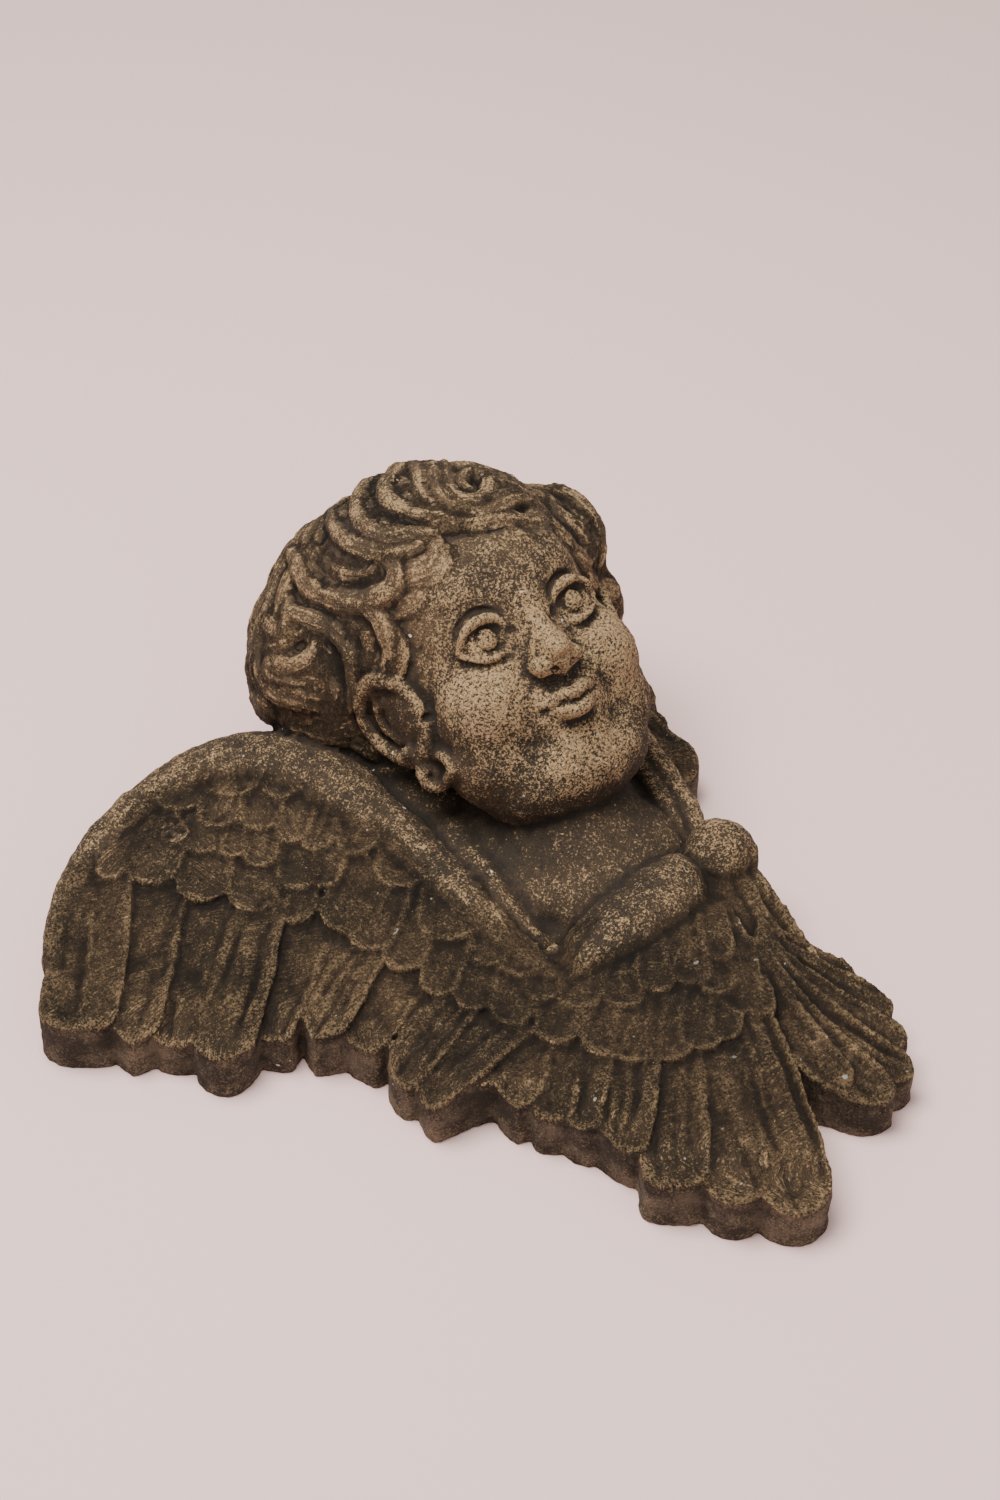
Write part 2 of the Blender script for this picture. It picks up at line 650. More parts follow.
# Soft hollows and swellings: x, y, z, radius and how far out, then the place that they are measured from
PRESSED = [
    ((-3, 3, 54, 21, -5.0), EYE),
    ((47, 6, 34, 20, -1.5), MIDDLE),
    ((2, 21, 55, 17, 1.5), EYE),
    ((20, 0, 58, 9, -1.5), MOUTH),
]
NOSE = [(0, 6, 55, 6), (0, -6, 58, 6), (0, -15, 62.5, 6.5), (0, -21, 66.5, 7), (0, -24, 67, 6)]
UNDER_NOSE = [(0, -24, 68, 4), (0, -28, 61, 4.5), (0, -31, 56, 4)]
NOSE_WINGS = [((7.0, -25.0, 60), (6.0, 5.0, 7.5)), ((5.0, -18.0, 58), (5.5, 7.0, 6.0))]
EYE_DEPTH = 43.5

# Lips from one corner of the mouth to the other, lids from the inner corner of the eye to the outer one
UPPER_LIP = [(-1, 0.5, 56, 1.6), (-0.5, 3, 61.5, 3), (0, 2.4, 64, 3.2), (0.5, 3, 61.5, 3), (1, 0.5, 56, 1.6)]
LOWER_LIP = [(-0.8, -2, 56, 1.6), (-1 / 2.4, -4.4, 60.5, 3.4), (0, -5.2, 62, 3.8), (1 / 2.4, -4.4, 60.5, 3.4),
             (0.8, -2, 56, 1.6)]
INNER_CORNER = (-12.5, -1.5, 54.5, 1.5)
OUTER_CORNER = (13.5, -1, 48.5, 1.2)
UPPER_LID = [(-8, 6.0, 55.5, 1.9), (0, 9.0, 56.6, 2.3), (8.5, 6.5, 54.4, 2.1)]
LOWER_LID = [(-7, -7.4, 54.4, 1.1), (0, -9.0, 55.2, 1.3), (8, -7.0, 53.0, 1.1)]

EAR_RIM = [(53, -22, 25, 3.1), (54, -12, 23, 3.3), (57, -4, 19, 3.7), (61, 1, 11, 3.9), (64, 0, 1, 3.7),
           (65, -8, -8, 3.5), (64, -20, -10, 3.3), (61, -31, -4, 3.7), (58, -37, 6, 4.7), (56, -37, 14, 5.1),
           (54, -32, 21, 4.3), (53, -24, 25, 3.3)]
EAR_FOLD = [(58, -8, 10, 2.6), (60, -10, 2, 3.0), (59.5, -19, -1, 3.2), (58, -27, 5, 3.2), (57, -30, 13, 2.8)]
EAR_BED = (53.5, -18, 8)
EAR_BED_HALF = (7.5, 20, 18)


def mirrored(side, course, start=MIDDLE):
    """A course measured from a place on the head's right side, on that side for 1 or the left one for -1."""
    return [(side * (start[0] + spot[0]), start[1] + spot[1], *spot[2:]) for spot in course]


def soft_body():
    """Neck, breast and the stone that they grow from."""
    pieces = [ball(centre, half) for centre, half in BODY_MASSES]
    pieces.append(roll(NECK))
    body = fuse(pieces, SOFT_VOXEL, 16)
    tree = tree_of(body)
    spots = [tree.ray_cast(*camera_ray(*spot, NEAR_WING_CORNER, NEAR_WING_SCALE))[0]
             for spot in smooth_path(NECK_GROOVE, 5)]
    press(body, [(*spot, 7.5, -1.3) for spot in spots if spot is not None])
    return body


def press(skin, places, space=None):
    """Presses soft hollows or swellings in: x, y and z, radius and how far out."""
    co = points_of(skin.data)
    normals = normals_of(skin.data)
    for x, y, z, radius, push in places:
        centre = np.array(Vector((x, y, z)) if space is None else space @ Vector((x, y, z)))
        gap = np.linalg.norm(co - centre, axis=1) / radius
        co += normals * (push * np.clip(1 - gap * gap, 0, 1) ** 2)[:, None]
    set_points(skin.data, co)


def soft_face():
    """Skull, forehead, full cheeks and double chin, blended like one body, with the sockets pressed in."""
    pieces = [ball(centre, half, space=HEAD) for centre, half in [SKULL, *FACE_MASSES]]
    for side in (-1, 1):
        pieces += [ball((side * x, y, z), half, space=HEAD) for (x, y, z), half in CHEEKS]
    face = fuse(pieces, SOFT_VOXEL, 26)
    press(face, [mirrored(side, [spot], start)[0] for side in (-1, 1) for spot, start in PRESSED], HEAD)
    return face


def lip(course):
    """A lip through shares of the mouth's half width and heights over the line of the mouth."""
    return roll([(share * MOUTH_HALF_WIDTH, MOUTH_HEIGHT + y, z, radius) for share, y, z, radius in course],
                HEAD)


def face_features(face):
    """Nose, eyeballs and lips, softened where they grow out of the face."""
    pieces = [face, roll(NOSE, HEAD), roll(UNDER_NOSE, HEAD)]
    for side in (-1, 1):
        pieces += [ball((side * x, y, z), half, space=HEAD) for (x, y, z), half in NOSE_WINGS]
        pieces.append(ball((side * EYE[0], EYE[1], EYE_DEPTH), (EYE_RADIUS,) * 3, space=HEAD))
    pieces += [lip(UPPER_LIP), lip(LOWER_LIP)]
    return fuse(pieces, FEATURE_VOXEL, 5)


def eyelids():
    """Upper and lower lids round each eyeball."""
    return [roll(mirrored(side, [INNER_CORNER, *lid, OUTER_CORNER], EYE), HEAD)
            for side in (-1, 1) for lid in (UPPER_LID, LOWER_LID)]


def ears():
    """Rimmed ears with a bowl, set low at the hinge of the jaw."""
    pieces = []
    for side in (-1, 1):
        pieces += [roll(mirrored(side, course), HEAD) for course in (EAR_RIM, EAR_FOLD)]
        pieces.append(ball(mirrored(side, [EAR_BED])[0], EAR_BED_HALF, space=HEAD))
    return pieces


# Hair

def cross_mass(start, way, far):
    """How far along a line it meets the hair mass, on its far or its near side, or else passes nearest."""
    best = None
    for centre, radii in HAIR_MASS:
        begin = Vector([(start[k] - centre[k]) / radii[k] for k in range(3)])
        step = Vector([way[k] / radii[k] for k in range(3)])
        a = step.dot(step)
        b = begin.dot(step)
        gap = b * b - a * (begin.dot(begin) - 1.0)
        root = math.sqrt(max(gap, 0.0))
        reach = (-b + root) / a if far else (-b - root) / a
        miss = math.sqrt(max(-gap, 0.0) / a)
        rank = (miss, -reach if far else reach)
        if best is None or rank < best[0]:
            best = (rank, reach)
    return best[1]


def on_hair(way):
    """The point on the hair mass that lies that way from its core."""
    core = Vector(HAIR_CORE)
    return core + way * cross_mass(core, way, True)


def seen(px, py):
    """Where the camera's line through that spot of the enlargement meets the hair, in head millimetres."""
    eye, way = camera_ray(px, py, SEEN_CORNER, SEEN_SCALE)
    back = HEAD.inverted()
    eye = back @ eye
    way = (back.to_3x3() @ way).normalized()
    return eye + way * cross_mass(eye, way, False)


def flowing_lock(start, heading, reach, curl, steps=9):
    """Directions along a lock that curls more and more towards its end."""
    spot = start.normalized()
    way = (heading - spot * heading.dot(spot)).normalized()
    course = []
    for i in range(steps + 1):
        course.append(spot.copy())
        way = Matrix.Rotation(curl / steps * 2 * i / steps, 3, spot) @ way
        spot = (spot + way * (reach / steps)).normalized()
        way = (way - spot * way.dot(spot)).normalized()
    return course


def near_face(spot):
    """True over the bare face."""
    return spot.z > 0.55 or (spot.z > 0.15 and spot.y < 0.1)


# Locks that show, as the camera sees them on an enlargement of the head, then half width and lift
SEEN_SCALE = 3.267
SEEN_CORNER = (220.0, 430.0)
SEEN_LOCKS = [
    ([(225, 400), (262, 455), (288, 515), (335, 565), (410, 590), (490, 592), (550, 570), (588, 525),
      (583, 475), (545, 445), (490, 432)], 7.0, 5.2),
    ([(330, 420), (368, 462), (420, 495), (480, 500), (528, 478)], 5.0, 3.4),
    ([(440, 588), (495, 606), (532, 645), (556, 700), (566, 760), (543, 812)], 6.0, 4.8),
    ([(400, 640), (455, 655), (490, 700), (500, 765), (480, 810)], 5.0, 2.8),
    ([(230, 620), (300, 645), (365, 672), (415, 705), (442, 755), (450, 815), (445, 875), (440, 930)],
     7.0, 5.4),
    ([(235, 575), (240, 625), (228, 680), (270, 692)], 4.5, 4.0),
    ([(325, 720), (300, 770), (250, 792), (180, 788), (180, 822), (230, 842), (290, 850)], 5.0, 4.2),
    ([(250, 700), (215, 722), (165, 735)], 4.5, 3.0),
    ([(700, 120), (640, 135), (588, 175), (556, 225), (568, 272), (622, 300), (690, 316), (748, 316)],
     6.0, 5.0),
    ([(600, 160), (640, 150), (665, 190), (668, 235), (700, 275), (745, 290)], 4.5, 4.0),
    ([(690, 120), (712, 165), (722, 215), (745, 262), (790, 290), (850, 296)], 5.0, 4.2),
    ([(540, 165), (495, 215), (470, 265), (472, 320), (510, 362), (570, 384), (640, 372), (705, 372)],
     6.0, 5.2),
    ([(455, 200), (415, 250), (388, 310), (400, 362), (440, 402), (500, 428), (560, 440), (620, 430),
      (672, 402)], 6.0, 5.0),
    ([(430, 330), (455, 355), (490, 378), (540, 400)], 4.5, 3.2),
    ([(500, 300), (520, 335), (570, 352), (620, 348)], 4.5, 3.0),
    ([(740, 130), (752, 180), (756, 225), (790, 262), (840, 268), (882, 244), (888, 205), (856, 176),
      (812, 182), (802, 214), (828, 226)], 5.0, 4.4),
    ([(850, 118), (872, 160), (905, 205), (960, 222), (1020, 222), (1040, 190), (1000, 158), (950, 146),
      (918, 158)], 5.0, 4.2),
    ([(1000, 150), (1046, 205), (1062, 262), (1105, 312), (1160, 350), (1200, 400), (1222, 470)], 7.0, 5.0),
    ([(1065, 205), (1130, 245), (1190, 290), (1228, 345), (1242, 410), (1232, 470)], 7.0, 6.0),
    ([(1245, 440), (1280, 510), (1300, 570), (1310, 640), (1312, 700)], 7.0, 5.0),
    ([(700, 345), (760, 334), (830, 338), (900, 326), (960, 322), (1010, 336)], 4.2, 3.4),
    ([(790, 300), (850, 304), (905, 292), (960, 266), (1010, 266), (1050, 296)], 5.0, 4.4),
    ([(850, 262), (900, 262), (945, 244), (990, 240), (1020, 250)], 4.5, 4.0),
    ([(1060, 300), (1100, 350), (1150, 400), (1185, 450)], 5.0, 4.0),
    ([(330, 262), (270, 330), (225, 405), (195, 470), (150, 545), (110, 615), (78, 690), (72, 780),
      (90, 870)], 6.0, 3.4),
    ([(380, 245), (322, 320), (270, 395), (232, 455), (200, 520), (180, 590), (150, 665), (128, 750),
      (130, 840), (165, 900)], 6.0, 4.2),
    ([(420, 225), (365, 290), (318, 360), (285, 425)], 5.5, 4.0),
    ([(262, 470), (232, 530), (212, 590), (196, 650)], 5.5, 3.6),
    ([(480, 178), (440, 215), (395, 272), (356, 335), (330, 395)], 5.0, 4.0),
    ([(560, 140), (500, 176), (455, 215)], 5.0, 4.0),
    ([(150, 700), (140, 770), (152, 840), (200, 890), (262, 915), (330, 935)], 6.0, 4.0),
    ([(200, 740), (195, 800), (222, 860), (280, 885), (350, 900)], 5.5, 3.2),
    ([(330, 790), (380, 830), (395, 880), (380, 930)], 5.0, 3.0),
]
NAPE_LOCKS = [
    [(640, 1082), (580, 1076), (520, 1052), (460, 1015), (410, 980), (350, 955)],
    [(650, 1100), (590, 1102), (530, 1088), (470, 1058), (420, 1022), (365, 985)],
    [(640, 1122), (575, 1132), (515, 1120), (460, 1092), (410, 1056)],
]
UNDER_EAR_CURL = [(600, 1080), (648, 1076), (700, 1078), (748, 1092), (768, 1132), (744, 1172), (700, 1182),
                  (668, 1154), (676, 1124), (702, 1114), (716, 1134), (704, 1144)]
LAID_DEPTH = 12.0


def hair_locks():
    """Locks as middle line, half width and lift: hidden ones in rings from the crown, then the seen ones."""
    dice = random.Random(HAIR_SEED)
    crown = Vector((0.0, math.sin(CROWN_RISE), -math.cos(CROWN_RISE)))
    aside = Vector((1.0, 0.0, 0.0))
    ahead = crown.cross(aside)
    locks = []
    for ring, angle in enumerate(LOCK_RINGS):
        tilt = math.radians(angle)
        count = max(4, round(360 * math.sin(tilt) / LOCK_SPACING))
        for i in range(count):
            turn = 2 * math.pi * (i + 0.5 * (ring % 2)) / count
            around = aside * math.cos(turn) + ahead * math.sin(turn)
            spot = crown * math.cos(tilt) + around * math.sin(tilt)
            heading = around + aside.cross(spot) * dice.uniform(-0.3, 0.3)
            outwards = 1 if spot.x < 0 else -1
            in_turn = 1 if (i + ring) % 2 else -1
            curl = dice.uniform(*LOCK_CURL) * (outwards if abs(spot.x) > BACK_OF_HEAD else in_turn)
            lift = dice.uniform(*LOCK_LIFT)
            if not near_face(spot):
                course = flowing_lock(spot, heading, LOCK_REACH, curl)
                if spot.x < 0.25 and spot.z > -0.6:
                    lift -= SEEN_SIDE_SINK
                locks.append(([on_hair(way) for way in course], LOCK_RADIUS, lift))
    for course, radius, lift in SEEN_LOCKS:
        locks.append(([seen(px, py) for px, py in course], radius, lift))
    return [(np.array([HEAD @ Vector(spot) for spot in smooth_path(line, 3)]), radius, lift)
            for line, radius, lift in locks]


def comb(skin, locks):
    """Raises every lock on the hair mass: a rounded ridge cut by strands, the highest one showing."""
    co = points_of(skin.data)
    normals = normals_of(skin.data)
    height = np.full(len(co), HAIR_CREVICE)
    grain = np.zeros((len(co), 3))
    for number, (line, radius, lift) in enumerate(locks):
        middle = line.mean(0)
        far = np.linalg.norm(line - middle, axis=1).max() + radius * 1.3
        near = np.nonzero(np.linalg.norm(co - middle, axis=1) < far)[0]
        if not len(near):
            continue
        start = line[:-1]
        step = line[1:] - start
        ahead = co[near][:, None, :] - start[None]
        share = np.clip((ahead * step).sum(2) / (step * step).sum(1), 0, 1)
        gap = np.linalg.norm(ahead - share[..., None] * step, axis=2)
        nearest = gap.argmin(1)
        row = np.arange(len(near))
        gap = gap[row, nearest]
        along = (nearest + share[row, nearest]) / len(start)
        body = np.sin(np.pi * (0.14 + 0.76 * along)) ** 0.6
        across = gap / (radius * body)
        strands = np.abs(np.cos(np.pi * gap / STRAND)) - 1
        domed = np.maximum(1 - across * across, 0) ** 0.6
        raised = lift * (0.35 + 0.65 * body) * domed + STRAND_DEPTH * strands
        shown = (across < 1) & (raised > height[near])
        height[near[shown]] = raised[shown]
        length = np.linalg.norm(step, axis=1).sum()
        marks = np.column_stack([gap, along * length, np.full(len(near), number * 3.7)])
        grain[near[shown]] = marks[shown]
    co += normals * height[:, None]
    set_points(skin.data, co)
    GRAIN.append(np.column_stack([co, grain]))


def hair():
    mass = fuse([ball(centre, radii, space=HEAD) for centre, radii in HAIR_MASS], HAIR_VOXEL, 6)
    comb(mass, hair_locks())
    return [mass]


def laid_lock(trees, course, radius, taper, rise):
    """A lock laid on the jaw and the neck where the camera sees them, without falling into a gap."""
    rays = [camera_ray(px, py, SEEN_CORNER, SEEN_SCALE) for px, py in course]
    reaches = []
    for eye, way in rays:
        hits = [tree.ray_cast(eye, way.normalized())[3] for tree in trees]
        reaches.append(min([hit for hit in hits if hit is not None], default=1e6))
    nearest = min(reaches)
    return roll([(*(eye + way.normalized() * (min(reach, nearest + LAID_DEPTH) - rise)), radius - taper * i)
                 for i, ((eye, way), reach) in enumerate(zip(rays, reaches))])


def locks_below_ear(face, body):
    trees = [tree_of(obj) for obj in (face, body)]
    return ([laid_lock(trees, UNDER_EAR_CURL, 3.3, 0.04, 0.4)]
            + [laid_lock(trees, course, 3.6, 0.3, 1.2) for course in NAPE_LOCKS])


# Finishing the stone

def on_face(skin_tree, x, y):
    """The point of the face in front of x, y of the head."""
    start = HEAD @ Vector((x, y, 150.0))
    way = (HEAD.to_3x3() @ Vector((0.0, 0.0, -1.0))).normalized()
    return skin_tree.ray_cast(start, way)[0]


def circle(x, y, radius, start=0.0, stop=360.0, steps=20):
    turns = [math.radians(start + (stop - start) * i / steps) for i in range(steps + 1)]
    return [(x + radius * math.cos(turn), y + radius * math.sin(turn)) for turn in turns]


def face_cuts():
    """The cuts on the face, each as its line in head millimetres, its width and its depth."""
    m = MOUTH_HEIGHT
    w = MOUTH_HALF_WIDTH
    on_both_sides = [
        (circle(0, 0, 5.4), EYE, 0.9, 1.3),
        (circle(0, 1, 12.5, 30, 150), EYE, 1.2, 1.3),
        ([(-13, -1.5), (-11.5, 0)], EYE, 1.8, 1.8),
        ([(12.5, -19), (13.2, -24), (11.5, -29), (7, -30)], MIDDLE, 1.3, 0.6),
        ([(14, -29), (19, -35), (20.5, -42)], MIDDLE, 2.8, 0.7),
        ([(3.8, -28.6), (6.6, -28)], MIDDLE, 1.7, 2.6),
        ([(0.5, 0), (2.5, 0.5)], MOUTH_CORNER, 1.7, 1.4),
    ]
    across_middle = [
        ([(-w, m), (-w / 2, m - 0.2), (0, m - 1.4), (w / 2, m - 0.2), (w, m)], 1.0, 2.2),
        ([(0, -32), (0, m + 6)], 1.7, 0.7),
        ([(-8, -52), (0, -53), (8, -52)], 3.0, 0.9),
    ]
    return [(mirrored(side, line, start), width, depth)
            for side in (-1, 1) for line, start, width, depth in on_both_sides] + across_middle


def chisel(skin):
    """Makes the cuts on the finished skin, each fading out at its ends unless it closes on itself."""
    tree = tree_of(skin)
    co = points_of(skin.data)
    normals = normals_of(skin.data)
    kd = sorted_by_place(co)
    change = np.zeros(len(co))
    for line, width, depth in face_cuts():
        deepest = {}
        flat = smooth_path(line, 5)
        last = len(flat) - 1
        closed = math.dist(line[0], line[-1]) < 0.01
        for i, (px, py) in enumerate(flat):
            spot = on_face(tree, px, py)
            if spot is None:
                continue
            ends = 1.0 if closed else min(1.0, 0.35 + 2.6 * min(i, last - i) / last)
            for _, index, gap in kd.find_range(spot, width * 2.4):
                cut = depth * ends * math.exp(-(gap / width) ** 2)
                if cut > deepest.get(index, 0.0):
                    deepest[index] = cut
        for index, cut in deepest.items():
            change[index] -= cut
    co += normals * change[:, None]
    set_points(skin.data, co)


def weather(skin):
    """Slight unevenness of old cast stone."""
    co = points_of(skin.data)
    normals = normals_of(skin.data)
    dice = random.Random(5)
    wave = np.zeros(len(co))
    for size, strength in WAVES:
        for _ in range(5):
            way = np.array([dice.gauss(0, 1) for _ in range(3)])
            way *= 2 * math.pi / size / np.linalg.norm(way)
            wave += strength * np.sin(co @ way + dice.uniform(0, 6.3))
    co += normals * wave[:, None]
    set_points(skin.data, co)


def thin(skin):
    triangles = sum(len(face.vertices) - 2 for face in skin.data.polygons)
    only(skin)
    finish_with(skin, "DECIMATE", ratio=min(1.0, MOST_TRIANGLES / triangles), use_collapse_triangulate=True)


def drop_crumbs(skin):
    """Deletes the tiny loose shells that fusing and thinning leave."""
    foremost = int(points_of(skin.data)[:, 2].argmax())
    only(skin)
    bpy.ops.object.mode_set(mode="EDIT")
    bpy.ops.mesh.select_mode(type="VERT")
    bpy.ops.mesh.select_all(action="DESELECT")
    bpy.ops.object.mode_set(mode="OBJECT")
    skin.data.vertices[foremost].select = True
    bpy.ops.object.mode_set(mode="EDIT")
    bpy.ops.mesh.select_linked()
    bpy.ops.mesh.select_all(action="INVERT")
    bpy.ops.mesh.delete(type="VERT")
    bpy.ops.object.mode_set(mode="OBJECT")


def flat_back(skin):
    """Cuts away everything behind the wall plane and closes the cut."""
    only(skin)
    bpy.ops.object.mode_set(mode="EDIT")
    bpy.ops.mesh.select_all(action="SELECT")
    bpy.ops.mesh.bisect(plane_co=(0, 0, 0), plane_no=(0, 0, 1), use_fill=True, clear_inner=True,
                        threshold=0.0001)
    bpy.ops.mesh.select_all(action="SELECT")
    bpy.ops.mesh.quads_convert_to_tris()
    bpy.ops.object.mode_set(mode="OBJECT")


def neighbour_mean(values, first, second, degree, rounds):
    for _ in range(rounds):
        total = np.empty_like(values)
        for k in range(values.shape[1]):
            total[:, k] = (np.bincount(first, values[second, k], len(values))
                           + np.bincount(second, values[first, k], len(values)))
        values = total / degree
    return values


def keep_measure(mesh, name, values):
    attribute = mesh.attributes.new(name, "FLOAT", "POINT")
    attribute.data.foreach_set("value", np.ascontiguousarray(values, dtype=np.float32))


def fit_box(skin):
    """Brings the carving's outer sizes to the solid's, less a hair."""
    co = points_of(skin.data)
    back = TO_WORLD.inverted()
    corners = np.array([back @ Vector(corner) for corner in cad_box])
    low = corners.min(0) + BOX_GAP
    high = corners.max(0) - BOX_GAP
    low[2] = 0.0
    size = co.max(0) - co.min(0)
    co = low + (co - co.min(0)) / size * (high - low)
    set_points(skin.data, co)


def measure_relief(skin):
    """Keeps what the stone's colour follows at each point: relief, bare face, feather or lock, facing."""
    mesh = skin.data
    co = points_of(mesh)
    normals = normals_of(mesh)
    edges = np.empty(len(mesh.edges) * 2, dtype=np.int32)
    mesh.edges.foreach_get("vertices", edges)
    first, second = edges.reshape(-1, 2).T
    degree = np.bincount(edges, None, len(co))[:, None].astype(float)
    near = neighbour_mean(co, first, second, degree, RIDGE_ROUNDS)
    wide = neighbour_mean(near, first, second, degree, RELIEF_ROUNDS)
    fine = np.einsum("ij,ij->i", co - near, normals)[:, None]
    broad = np.einsum("ij,ij->i", co - wide, normals)[:, None]
    fine = neighbour_mean(fine, first, second, degree, 1)[:, 0]
    broad = neighbour_mean(broad, first, second, degree, 2)[:, 0]
    keep_measure(mesh, "ridge", np.clip(fine / RIDGE_SCALE, -1, 1))
    keep_measure(mesh, "relief", np.clip(broad / RELIEF_SCALE, -1, 1))
    back = np.array(HEAD.inverted())
    local = co @ back[:3, :3].T + back[:3, 3]
    near_centre = np.hypot(local[:, 0] / FACE_OVAL[0], (local[:, 1] - FACE_OVAL_HEIGHT) / FACE_OVAL[1])
    face = np.clip((1.0 - near_centre) / 0.25, 0, 1) * np.clip((local[:, 2] - 5) / 20, 0, 1)
    keep_measure(mesh, "face", face * (1 - 0.75 * np.clip((local[:, 1] + 8) / 28, 0, 1)))
    known = np.vstack(GRAIN)
    kd = sorted_by_place(known[:, :3])
    nearest = np.array([kd.find(spot)[1:] for spot in co])
    grain = known[nearest[:, 0].astype(int), 3:]
    for k, name in enumerate(("across", "along", "number")):
        keep_measure(mesh, name, grain[:, k])
    full, gone = CARVED_REACH
    keep_measure(mesh, "carved", np.clip((gone - nearest[:, 1]) / (gone - full), 0, 1))
    keep_measure(mesh, "outwards", normals[:, 2])
    keep_measure(mesh, "height", co[:, 2])


# Materials

class Value:
    """A number from a socket, which Python's operators build Math nodes on."""

    def __init__(self, shader, socket):
        self.shader = shader
        self.socket = socket

    def math(self, operation, a, b):
        return self.shader.node("ShaderNodeMath", {"operation": operation}, {0: a, 1: b})[0]

    def __add__(self, other):
        return self.math("ADD", self, other)

    def __sub__(self, other):
        return self.math("SUBTRACT", self, other)

    def __rsub__(self, other):
        return self.math("SUBTRACT", other, self)

    def __mul__(self, other):
        return self.math("MULTIPLY", self, other)

    __radd__ = __add__
    __rmul__ = __mul__

    def clamped(self, low=0.0, high=1.0):
        low_cut = self.math("MAXIMUM", self, low)
        return self.math("MINIMUM", low_cut, high)

    def between(self, low, high):
        """0 at low, 1 at high, smooth between."""
        return self.shader.node("ShaderNodeMapRange", {"interpolation_type": "SMOOTHSTEP"},
                                {"Value": self, "From Min": low, "From Max": high})[0]


class Shader:
    def __init__(self, name):
        self.material = bpy.data.materials.new(name)
        self.material.use_nodes = True
        self.tree = self.material.node_tree
        self.surface = self.tree.nodes["Principled BSDF"]

    def node(self, kind, settings=None, inputs=None):
        node = self.tree.nodes.new(kind)
        for key, value in (settings or {}).items():
            setattr(node, key, value)
        for key, value in (inputs or {}).items():
            if isinstance(value, Value):
                self.tree.links.new(value.socket, node.inputs[key])
            elif value is not None:
                node.inputs[key].default_value = value
        return [Value(self, socket) for socket in node.outputs if socket.enabled]

    def measure(self, name):
        """What measure_relief kept on the points under that name."""
        return self.node("ShaderNodeAttribute", {"attribute_name": name})[2]

    def noise(self, place, scale, detail=3.0, roughness=0.6, distortion=0.0):
        """Noise round nought, half up and half down."""
        return self.node("ShaderNodeTexNoise", {},
                         {"Vector": place, "Scale": scale, "Detail": detail, "Roughness": roughness,
                          "Distortion": distortion})[0] - 0.5

    def mix(self, share, first, second):
        """One colour turning into another by a share."""
        return self.node("ShaderNodeMix", {"data_type": "RGBA"}, {0: share, 6: first, 7: second})[0]

    def link(self, name, value):
        self.tree.links.new(value.socket, self.surface.inputs[name])


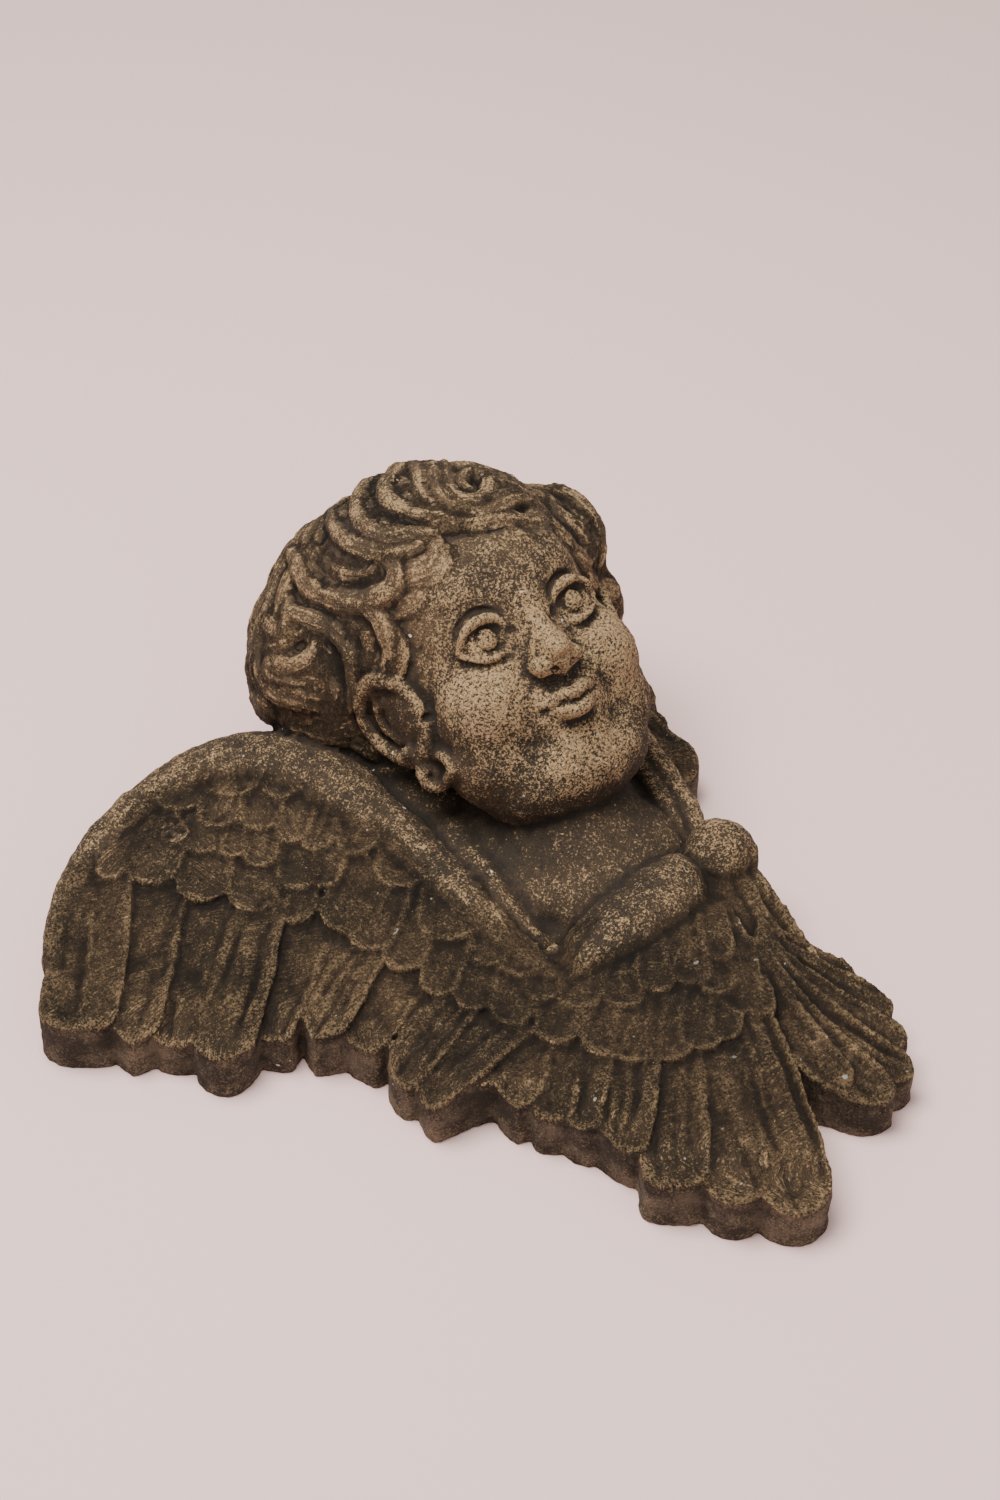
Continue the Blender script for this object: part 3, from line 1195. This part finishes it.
def weathered_stone(chip_place):
    shader = Shader("weathered_stone")
    place = shader.node("ShaderNodeTexCoord")[3]
    measures = ("ridge", "relief", "face", "outwards", "height", "carved", "across", "along", "number")
    ridge, relief, face, outwards, height, carved, across, along, number = map(shader.measure, measures)
    strip = shader.node("ShaderNodeCombineXYZ", {}, {0: across * 0.42, 1: along * 0.045, 2: number})[0]
    barbs = shader.noise(strip, 1.0, 3.0, 0.65, 0.3)

    grain = shader.noise(place, 780.0, 2.0, 0.7)
    grit = shader.noise(place, 1500.0, 1.0, 0.5)
    patches = shader.noise(place, 95.0, 3.0, 0.6)
    clouds = shader.noise(place, 24.0, 3.0, 0.55)

    dark = (0.052, 0.036, 0.021, 1.0)
    brown = (0.098, 0.062, 0.034, 1.0)
    sand = (0.325, 0.219, 0.113, 1.0)
    pale = (0.56, 0.42, 0.26, 1.0)
    soot = (0.012, 0.010, 0.009, 1.0)
    grime = (0.018, 0.014, 0.010, 1.0)
    wall_dark = (0.022, 0.018, 0.013, 1.0)
    wall_light = (0.118, 0.093, 0.063, 1.0)
    chalk = (0.72, 0.68, 0.60, 1.0)

    open_stone = (relief * 0.5 + face * 0.8 + 0.15 - carved * 0.25).clamped(0.0, 1.0)
    wear = (ridge * (0.60 - carved * 0.10) + relief * 0.16 + face * 0.86 + clouds * 0.9 + patches * 0.8
            + outwards * 0.20 + carved * 0.12 + barbs * carved * 3.8 - 0.80).clamped(-0.9, 0.40)
    specks = (grain * 4.0 + grit * 2.4) * (open_stone * 0.3 + 0.87)
    sandy = (specks + wear).between(-0.35, 0.65)
    ground = shader.mix(clouds.between(-0.15, 0.18), dark, brown)
    ground = shader.mix((1.0 - carved) * 0.55, ground, grime)
    colour = shader.mix(sandy, ground, sand)
    bright = (specks + wear * 0.5).between(0.75, 1.4)
    colour = shader.mix(bright * 0.7, colour, pale)
    pit = (0.0 - specks - wear * 0.25).between(0.45, 1.0)
    colour = shader.mix(pit * 0.85, colour, soot)
    hollow = (0.0 - relief * 0.35 - ridge * 0.8 - barbs * carved * 3.0).between(0.15, 1.0)
    colour = shader.mix(hollow * 0.66, colour, soot)
    side = (1.0 - outwards.between(0.05, 0.45)) * (1.0 - height.between(24.0, 40.0))
    wall = shader.mix((patches * 2.6 + clouds * 2.4 + specks * 0.5).between(-0.6, 0.8), wall_dark, wall_light)
    colour = shader.mix(side * 0.8, colour, wall)
    fleck = shader.noise(place, 300.0, 0.0, 0.5).between(0.365, 0.39)
    colour = shader.mix(fleck * 0.6, colour, chalk)
    chip = shader.node("ShaderNodeVectorMath", {"operation": "DISTANCE"}, {0: place, 1: chip_place})[-1]
    chip = 1.0 - (chip * 1000.0 + grain * 3.0).between(0.7, 1.5)
    colour = shader.mix(chip, colour, chalk)
    shader.link("Base Color", colour)
    shader.surface.inputs["Specular IOR Level"].default_value = 0.22
    shader.link("Roughness", (0.86 + grain * 0.2).clamped(0.6, 1.0))

    relief_height = grain * 0.8 + grit * 0.25 + patches * 0.8 + (barbs + 0.5) * carved * 4.5
    bump = shader.node("ShaderNodeBump", {},
                       {"Strength": 0.9, "Distance": 0.0007, "Height": relief_height})[0]
    shader.link("Normal", bump)
    return shader.material


def pale_paint():
    shader = Shader("pale_paint")
    for name, value in (("Base Color", SHEET_COLOUR), ("Roughness", 0.6), ("Specular IOR Level", 0.3)):
        shader.surface.inputs[name].default_value = value
    return shader.material


# The plaque

def carve_plaque():
    long_blank = feather_blank(64, 30)
    short_blank = feather_blank(30, 26)
    ground_blank = feather_blank(10, 8)
    pieces = carve_wings(long_blank, short_blank, ground_blank)
    for blank in (long_blank, short_blank, ground_blank):
        bpy.data.objects.remove(blank)
    body = soft_body()
    face = face_features(soft_face())
    pieces += locks_below_ear(face, body) + [body, face] + eyelids() + ears() + hair()
    skin = fuse(pieces, FINE_VOXEL, 1)
    chisel(skin)
    weather(skin)
    flat_back(skin)
    measure_relief(skin)
    thin(skin)
    drop_crumbs(skin)
    fit_box(skin)
    skin.name = "carved_plaque"
    skin.data.name = "carved_plaque"
    chip = tree_of(skin).ray_cast(*camera_ray(*CHIP, NEAR_WING_CORNER, NEAR_WING_SCALE))[0]
    skin.data.transform(TO_WORLD)
    only(skin)
    bpy.ops.object.shade_smooth()
    skin.data.materials.clear()
    skin.data.materials.append(weathered_stone(TO_WORLD @ chip))
    return skin


plaque = carve_plaque()
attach(plaque, "root")
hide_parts("cherub_plaque")


# Stage, light and camera, in metres

SHEET_BEHIND = 0.0004
SHEET_COLOUR = (0.95, 0.687, 0.648, 1.0)
OPENING_CENTRE = (-0.020, -0.095)
OPENING_HALF = (0.060, 0.075)
SHEET_TO_OPENING = 40

# Place, size, watts and colour
LIGHTS = {
    "key": ((-0.48, -1.72, 0.06), 1.1, 46.0, (1.0, 0.98, 0.96)),
    "fill": ((0.2, -1.0, -1.3), 1.4, 3.5, (1.0, 1.0, 1.0)),
}
LIGHT_AIM = (-0.05, -0.06, -0.1)
ROOM_COLOUR = (0.86, 0.80, 0.79, 1.0)
ROOM_STRENGTH = 0.64


def lay_stage():
    """A pale sheet against the plaque's back, open behind it so that the back can be seen."""
    rest()
    bpy.ops.mesh.primitive_circle_add(vertices=64, radius=1.0, fill_type="NOTHING")
    sheet = bpy.context.object
    opening = points_of(sheet.data)[:, :2] * OPENING_HALF + OPENING_CENTRE
    set_points(sheet.data, np.insert(opening, 1, SHEET_BEHIND, axis=1))
    bpy.ops.object.mode_set(mode="EDIT")
    bpy.ops.mesh.select_all(action="SELECT")
    bpy.ops.mesh.extrude_edges_move()
    bpy.ops.transform.resize(value=(SHEET_TO_OPENING, 1, SHEET_TO_OPENING))
    bpy.ops.object.mode_set(mode="OBJECT")
    sheet.name = "pale_sheet"
    sheet.data.materials.append(pale_paint())


def area_light(name, place, size, power, colour):
    light = bpy.data.lights.new(name, "AREA")
    light.shape = "DISK"
    light.size = size
    light.energy = power
    light.color = colour
    obj = bpy.data.objects.new(name, light)
    bpy.context.scene.collection.objects.link(obj)
    place = Vector(place)
    facing = (place - Vector(LIGHT_AIM)).to_track_quat("Z", "Y").to_matrix().to_4x4()
    obj.matrix_world = Matrix.Translation(place) @ facing


def set_camera():
    turn = Matrix((CAMERA_RIGHT, CAMERA_UP, CAMERA_AWAY)).transposed().to_4x4()
    data = bpy.data.cameras.new("camera")
    data.sensor_fit = "VERTICAL"
    data.sensor_height = SENSOR
    data.lens = FOCAL_PIXELS / PICTURE[1] * SENSOR
    data.dof.use_dof = False
    camera = bpy.data.objects.new("camera", data)
    bpy.context.scene.collection.objects.link(camera)
    upright = Matrix.Rotation(math.radians(90), 4, "X")
    camera.matrix_world = upright @ Matrix.Translation(CAMERA_AWAY * CAMERA_REACH * MM) @ turn
    bpy.context.scene.camera = camera


def light_room():
    for name, settings in LIGHTS.items():
        area_light(name, *settings)
    world = bpy.data.worlds.new("studio")
    world.use_nodes = True
    room = world.node_tree.nodes["Background"].inputs
    room["Color"].default_value = ROOM_COLOUR
    room["Strength"].default_value = ROOM_STRENGTH
    bpy.context.scene.world = world


lay_stage()
light_room()
set_camera()
